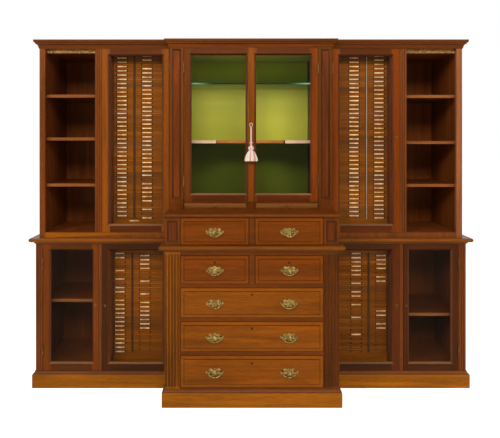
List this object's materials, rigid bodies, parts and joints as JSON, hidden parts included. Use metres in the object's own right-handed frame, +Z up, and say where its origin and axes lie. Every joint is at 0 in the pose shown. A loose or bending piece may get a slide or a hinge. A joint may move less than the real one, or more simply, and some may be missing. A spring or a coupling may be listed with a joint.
{
  "type": "breakfront bookcase",
  "caption": "Mahogany breakfront bookcase: glazed cabinet over drawers, banks of slide trays behind glass and open shelves in the wings.",
  "frame": {"origin": "centre of the bounding box on the floor, without the tassel and its cord", "axes": "+X to the right seen from the front, +Y to the back, +Z up"},
  "size_m": [2.644, 0.68, 2.08],
  "materials": {
    "wood": "french polished mahogany",
    "wood_light": "french polished mahogany, warmer",
    "wood_dark": "french polished mahogany, darker",
    "tray_wood": "waxed cedar, golden brown",
    "brass": "aged, satin",
    "bone": "ivory-coloured, satin",
    "pane_glass": "clear",
    "shelf_glass": "clear, greenish edge",
    "baize": "matt woollen cloth",
    "gilt_leather": "gilt, scalloped",
    "silk": "silk thread, pink and cream stripes"
  },
  "bodies": {
    "case": {"plinths": "wood_light", "lower_wing_carcases": "wood", "centre_carcases": "wood", "waist_tops": "wood_light", "upper_wing_carcases": "wood", "upper_centre_carcase": "wood", "cornice": "wood_dark", "pilasters": "wood_light", "wooden_shelves": "wood_light", "glass_shelf": "shelf_glass", "baize_lining": "baize", "slide_trays": "tray_wood", "tray_labels": "bone", "dust_fringes": "gilt_leather", "hinge_leaves": "brass"},
    "left_case_door": {"left_case_door": "wood", "left_case_pane": "pane_glass"},
    "right_case_door": {"right_case_door": "wood", "right_case_pane": "pane_glass", "tassel_cord": "silk", "tassel": "silk"},
    "upper_left_tray_door": {"upper_left_tray_door": "wood_light", "upper_left_tray_pane": "pane_glass"},
    "upper_right_tray_door": {"upper_right_tray_door": "wood_light", "upper_right_tray_pane": "pane_glass"},
    "lower_left_tray_door": {"lower_left_tray_door": "wood_light", "lower_left_tray_pane": "pane_glass"},
    "lower_right_tray_door": {"lower_right_tray_door": "wood_light", "lower_right_tray_pane": "pane_glass"},
    "left_book_door": {"left_book_door": "wood_light", "left_book_pane": "pane_glass"},
    "right_book_door": {"right_book_door": "wood_light", "right_book_pane": "pane_glass"},
    "door_key": {"door_key": "brass"},
    "frieze_drawer_left": {"frieze_drawer_left": "wood_light", "plates_frieze_left": "brass"},
    "frieze_drawer_right": {"frieze_drawer_right": "wood_light", "plates_frieze_right": "brass"},
    "short_drawer_left": {"short_drawer_left": "wood_light", "plates_short_left": "brass"},
    "short_drawer_right": {"short_drawer_right": "wood_light", "plates_short_right": "brass"},
    "long_drawer_top": {"long_drawer_top": "wood_light", "plates_long_top": "brass"},
    "long_drawer_middle": {"long_drawer_middle": "wood_light", "plates_long_middle": "brass"},
    "long_drawer_bottom": {"long_drawer_bottom": "wood_light", "plates_long_bottom": "brass"},
    "bail_frieze_left": {"bail_frieze_left": "brass"},
    "bail_frieze_right": {"bail_frieze_right": "brass"},
    "bail_short_left": {"bail_short_left": "brass"},
    "bail_short_right": {"bail_short_right": "brass"},
    "bail_top_left": {"bail_top_left": "brass"},
    "bail_top_right": {"bail_top_right": "brass"},
    "bail_middle_left": {"bail_middle_left": "brass"},
    "bail_middle_right": {"bail_middle_right": "brass"},
    "bail_bottom_left": {"bail_bottom_left": "brass"},
    "bail_bottom_right": {"bail_bottom_right": "brass"},
    "slide_left": {"slide_left": "wood"},
    "slide_right": {"slide_right": "wood"}
  },
  "joints": [
    {"name": "left_case_door_hinge", "type": "hinge", "parent": "case", "child": "left_case_door", "pos_m": [-0.3985, -0.1236, 1.572], "axis": [0, 0, 1], "range_deg": [-90, 0], "deforming": ["tassel"]},
    {"name": "right_case_door_hinge", "type": "hinge", "parent": "case", "child": "right_case_door", "pos_m": [0.3985, -0.1236, 1.572], "axis": [0, 0, 1], "range_deg": [0, 90]},
    {"name": "upper_left_tray_door_hinge", "type": "hinge", "parent": "case", "child": "upper_left_tray_door", "pos_m": [-0.4903, -0.0936, 1.4785], "axis": [0, 0, 1], "range_deg": [0, 90]},
    {"name": "upper_right_tray_door_hinge", "type": "hinge", "parent": "case", "child": "upper_right_tray_door", "pos_m": [0.4903, -0.0936, 1.4785], "axis": [0, 0, 1], "range_deg": [-90, 0]},
    {"name": "lower_left_tray_door_hinge", "type": "hinge", "parent": "case", "child": "lower_left_tray_door", "pos_m": [-0.4903, -0.0936, 0.479], "axis": [0, 0, 1], "range_deg": [0, 90]},
    {"name": "lower_right_tray_door_hinge", "type": "hinge", "parent": "case", "child": "lower_right_tray_door", "pos_m": [0.4903, -0.0936, 0.479], "axis": [0, 0, 1], "range_deg": [-90, 0]},
    {"name": "left_book_door_hinge", "type": "hinge", "parent": "case", "child": "left_book_door", "pos_m": [-1.2465, -0.0936, 0.479], "axis": [0, 0, 1], "range_deg": [-110, 0]},
    {"name": "right_book_door_hinge", "type": "hinge", "parent": "case", "child": "right_book_door", "pos_m": [1.2465, -0.0936, 0.479], "axis": [0, 0, 1], "range_deg": [0, 110]},
    {"name": "key_turn", "type": "hinge", "parent": "right_case_door", "child": "door_key", "pos_m": [0, -0.125, 1.577], "axis": [0, 1, 0], "range_deg": [0, 90]},
    {"name": "frieze_drawer_left_run", "type": "slide", "parent": "case", "child": "frieze_drawer_left", "axis": [0, -1, 0], "range_m": [0, 0.33]},
    {"name": "frieze_drawer_right_run", "type": "slide", "parent": "case", "child": "frieze_drawer_right", "axis": [0, -1, 0], "range_m": [0, 0.33]},
    {"name": "short_drawer_left_run", "type": "slide", "parent": "case", "child": "short_drawer_left", "axis": [0, -1, 0], "range_m": [0, 0.36]},
    {"name": "short_drawer_right_run", "type": "slide", "parent": "case", "child": "short_drawer_right", "axis": [0, -1, 0], "range_m": [0, 0.36]},
    {"name": "long_drawer_top_run", "type": "slide", "parent": "case", "child": "long_drawer_top", "axis": [0, -1, 0], "range_m": [0, 0.4]},
    {"name": "long_drawer_middle_run", "type": "slide", "parent": "case", "child": "long_drawer_middle", "axis": [0, -1, 0], "range_m": [0, 0.4]},
    {"name": "long_drawer_bottom_run", "type": "slide", "parent": "case", "child": "long_drawer_bottom", "axis": [0, -1, 0], "range_m": [0, 0.4]},
    {"name": "bail_frieze_left_swing", "type": "hinge", "parent": "frieze_drawer_left", "child": "bail_frieze_left", "pos_m": [-0.207, -0.3246, 0.9729], "axis": [1, 0, 0], "range_deg": [-85, 0]},
    {"name": "bail_frieze_right_swing", "type": "hinge", "parent": "frieze_drawer_right", "child": "bail_frieze_right", "pos_m": [0.207, -0.3246, 0.9729], "axis": [1, 0, 0], "range_deg": [-85, 0]},
    {"name": "bail_short_left_swing", "type": "hinge", "parent": "short_drawer_left", "child": "bail_short_left", "pos_m": [-0.207, -0.3246, 0.7604], "axis": [1, 0, 0], "range_deg": [-85, 0]},
    {"name": "bail_short_right_swing", "type": "hinge", "parent": "short_drawer_right", "child": "bail_short_right", "pos_m": [0.207, -0.3246, 0.7604], "axis": [1, 0, 0], "range_deg": [-85, 0]},
    {"name": "bail_top_left_swing", "type": "hinge", "parent": "long_drawer_top", "child": "bail_top_left", "pos_m": [-0.207, -0.3246, 0.5764], "axis": [1, 0, 0], "range_deg": [-85, 0]},
    {"name": "bail_top_right_swing", "type": "hinge", "parent": "long_drawer_top", "child": "bail_top_right", "pos_m": [0.207, -0.3246, 0.5764], "axis": [1, 0, 0], "range_deg": [-85, 0]},
    {"name": "bail_middle_left_swing", "type": "hinge", "parent": "long_drawer_middle", "child": "bail_middle_left", "pos_m": [-0.207, -0.3246, 0.3884], "axis": [1, 0, 0], "range_deg": [-85, 0]},
    {"name": "bail_middle_right_swing", "type": "hinge", "parent": "long_drawer_middle", "child": "bail_middle_right", "pos_m": [0.207, -0.3246, 0.3884], "axis": [1, 0, 0], "range_deg": [-85, 0]},
    {"name": "bail_bottom_left_swing", "type": "hinge", "parent": "long_drawer_bottom", "child": "bail_bottom_left", "pos_m": [-0.207, -0.3246, 0.1944], "axis": [1, 0, 0], "range_deg": [-85, 0]},
    {"name": "bail_bottom_right_swing", "type": "hinge", "parent": "long_drawer_bottom", "child": "bail_bottom_right", "pos_m": [0.207, -0.3246, 0.1944], "axis": [1, 0, 0], "range_deg": [-85, 0]},
    {"name": "slide_left_run", "type": "slide", "parent": "case", "child": "slide_left", "axis": [0, -1, 0], "range_m": [0, 0.25]},
    {"name": "slide_right_run", "type": "slide", "parent": "case", "child": "slide_right", "axis": [0, -1, 0], "range_m": [0, 0.25]}
  ]
}
